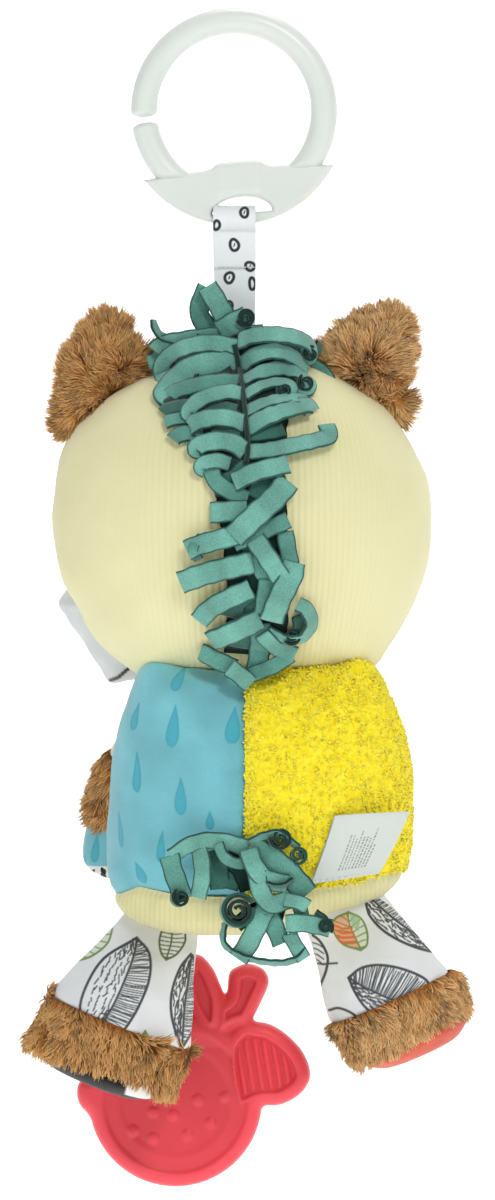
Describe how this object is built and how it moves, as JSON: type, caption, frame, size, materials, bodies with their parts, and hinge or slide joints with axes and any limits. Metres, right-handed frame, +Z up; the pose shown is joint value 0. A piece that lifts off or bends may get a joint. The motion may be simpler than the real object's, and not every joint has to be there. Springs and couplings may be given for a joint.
{
  "type": "baby rattle",
  "caption": "Hanging plush pony rattle with a split clip ring, ribbon strap, ribbon mane and tail, fur-cuffed legs, a rattle capsule inside the body and a silicone teether on a ribbon.",
  "frame": {"origin": "highest point of the clip ring's inner edge, where the toy hangs", "axes": "+Z up along the hanging strap, +Y the way the pony faces, -Y its back, +X to the right when its back is seen"},
  "size_m": [0.1138, 0.0961, 0.3069],
  "materials": {
    "ring_plastic": "satin",
    "strap_ribbon": "matte",
    "cream_rib_knit": "matte",
    "fibre_stuffing": "matte",
    "white_velour": "matte",
    "brown_fur": "matte",
    "ear_lining_cloth": "matte",
    "teal_ribbon": "matte",
    "embroidery_dark": "matte",
    "blue_drop_print": "matte",
    "yellow_boucle": "matte",
    "label_tape": "satin",
    "leaf_print": "matte",
    "striped_sole_cloth": "matte",
    "coral_cloth": "matte",
    "coral_silicone": "satin",
    "rattle_shell": "satin",
    "rattle_beads": "satin"
  },
  "bodies": {
    "ring": {"clip_ring": "ring_plastic"},
    "strap": {"hanging_strap": "strap_ribbon"},
    "head": {"head_stuffing": "fibre_stuffing", "head_back_panel_left": "cream_rib_knit", "head_back_panel_right": "cream_rib_knit", "face_panel": "cream_rib_knit", "muzzle_cover": "white_velour", "eye_patch_left": "embroidery_dark", "eye_patch_right": "embroidery_dark", "mane_binding_tape": "teal_ribbon", "mane_ribbons_left": "teal_ribbon", "mane_ribbons_right": "teal_ribbon", "mane_crown_ribbons": "teal_ribbon"},
    "ear_left": {"ear_left_fur": "brown_fur", "ear_left_lining": "ear_lining_cloth"},
    "ear_right": {"ear_right_fur": "brown_fur", "ear_right_lining": "ear_lining_cloth"},
    "body": {"body_stuffing_back": "fibre_stuffing", "body_stuffing_front": "fibre_stuffing", "rattle_case_upper": "rattle_shell", "rattle_case_lower": "rattle_shell", "body_back_panel_blue": "blue_drop_print", "body_back_panel_yellow": "yellow_boucle", "seat_panel": "cream_rib_knit", "belly_panel": "white_velour"},
    "bead_1": {"rattle_bead_1": "rattle_beads"},
    "bead_2": {"rattle_bead_2": "rattle_beads"},
    "bead_3": {"rattle_bead_3": "rattle_beads"},
    "bead_4": {"rattle_bead_4": "rattle_beads"},
    "label": {"care_label": "label_tape"},
    "tail": {"tail_ribbons": "teal_ribbon"},
    "rear_leg_left": {"rear_leg_left_cover": "leaf_print", "rear_leg_left_stuffing": "fibre_stuffing", "rear_leg_left_fur_cuff": "brown_fur", "rear_leg_left_sole": "striped_sole_cloth"},
    "rear_leg_right": {"rear_leg_right_cover": "leaf_print", "rear_leg_right_stuffing": "fibre_stuffing", "rear_leg_right_fur_cuff": "brown_fur", "rear_leg_right_sole": "coral_cloth"},
    "front_leg_left": {"front_leg_left_sleeve": "cream_rib_knit", "front_leg_left_fur_cuff": "brown_fur", "front_leg_left_hoof": "blue_drop_print"},
    "front_leg_right": {"front_leg_right_sleeve": "cream_rib_knit", "front_leg_right_fur_cuff": "brown_fur", "front_leg_right_hoof": "blue_drop_print"},
    "teether_ribbon": {"teether_ribbon": "teal_ribbon"},
    "teether": {"teether": "coral_silicone"}
  },
  "joints": [
    {"name": "strap_swing", "type": "hinge", "parent": "ring", "child": "strap", "pos_m": [0.0006, 0, -0.04816], "axis": [1, 0, 0], "range_deg": [-60, 60]},
    {"name": "crown_seam_bend", "type": "hinge", "parent": "strap", "child": "head", "pos_m": [0, 0, -0.0837], "axis": [1, 0, 0], "range_deg": [-6, 30]},
    {"name": "neck_bend", "type": "hinge", "parent": "head", "child": "body", "pos_m": [0.0048, 0, -0.1686], "axis": [1, 0, 0], "range_deg": [-8, 8], "stiffness_Nm_per_rad": 1.2},
    {"name": "ear_left_flop", "type": "hinge", "parent": "head", "child": "ear_left", "pos_m": [-0.0322, 0, -0.095], "axis": [-0.779, 0, -0.627], "range_deg": [-6, 45], "stiffness_Nm_per_rad": 0.02},
    {"name": "ear_right_flop", "type": "hinge", "parent": "head", "child": "ear_right", "pos_m": [0.0328, 0, -0.0912], "axis": [-0.8304, 0, 0.5572], "range_deg": [-6, 45], "stiffness_Nm_per_rad": 0.02},
    {"name": "front_leg_left_swing", "type": "hinge", "parent": "body", "child": "front_leg_left", "pos_m": [-0.024, 0.0273, -0.1862], "axis": [1, 0, 0], "range_deg": [-2, 28], "stiffness_Nm_per_rad": 0.06},
    {"name": "front_leg_right_swing", "type": "hinge", "parent": "body", "child": "front_leg_right", "pos_m": [0.0318, 0.0307, -0.18645], "axis": [1, 0, 0], "range_deg": [-2, 28], "stiffness_Nm_per_rad": 0.06},
    {"name": "rear_leg_left_swing", "type": "hinge", "parent": "body", "child": "rear_leg_left", "pos_m": [-0.023, -0.0065, -0.2411], "axis": [1, 0, 0], "range_deg": [-25, 2], "stiffness_Nm_per_rad": 0.12},
    {"name": "rear_leg_right_swing", "type": "hinge", "parent": "body", "child": "rear_leg_right", "pos_m": [0.0331, -0.0065, -0.2387], "axis": [1, 0, 0], "range_deg": [-25, 25], "stiffness_Nm_per_rad": 0.12},
    {"name": "tail_flop", "type": "hinge", "parent": "body", "child": "tail", "pos_m": [0.0021, -0.0319, -0.209], "axis": [1, 0, 0], "range_deg": [-30, 0]},
    {"name": "care_label_fold", "type": "hinge", "parent": "body", "child": "label", "pos_m": [0.0192, -0.0264, -0.2196], "axis": [0.952, 0.2606, 0.1603], "range_deg": [0, 80], "stiffness_Nm_per_rad": 0.001},
    {"name": "teether_ribbon_swing", "type": "hinge", "parent": "body", "child": "teether_ribbon", "pos_m": [-0.0198, 0.0218, -0.2226], "axis": [1, 0, 0], "range_deg": [-2, 40]},
    {"name": "teether_swing", "type": "hinge", "parent": "teether_ribbon", "child": "teether", "pos_m": [-0.0198, 0.0224, -0.2531], "axis": [1, 0, 0], "range_deg": [-2, 30]},
    {"name": "rattle_bead_1_travel", "type": "slide", "parent": "body", "child": "bead_1", "axis": [0, 0, 1], "range_m": [0, 0.0195]},
    {"name": "rattle_bead_2_travel", "type": "slide", "parent": "body", "child": "bead_2", "axis": [0, 0, 1], "range_m": [0, 0.0195]},
    {"name": "rattle_bead_3_travel", "type": "slide", "parent": "body", "child": "bead_3", "axis": [0, 0, 1], "range_m": [0, 0.0195]},
    {"name": "rattle_bead_4_travel", "type": "slide", "parent": "body", "child": "bead_4", "axis": [0, 0, 1], "range_m": [0, 0.0195]}
  ]
}
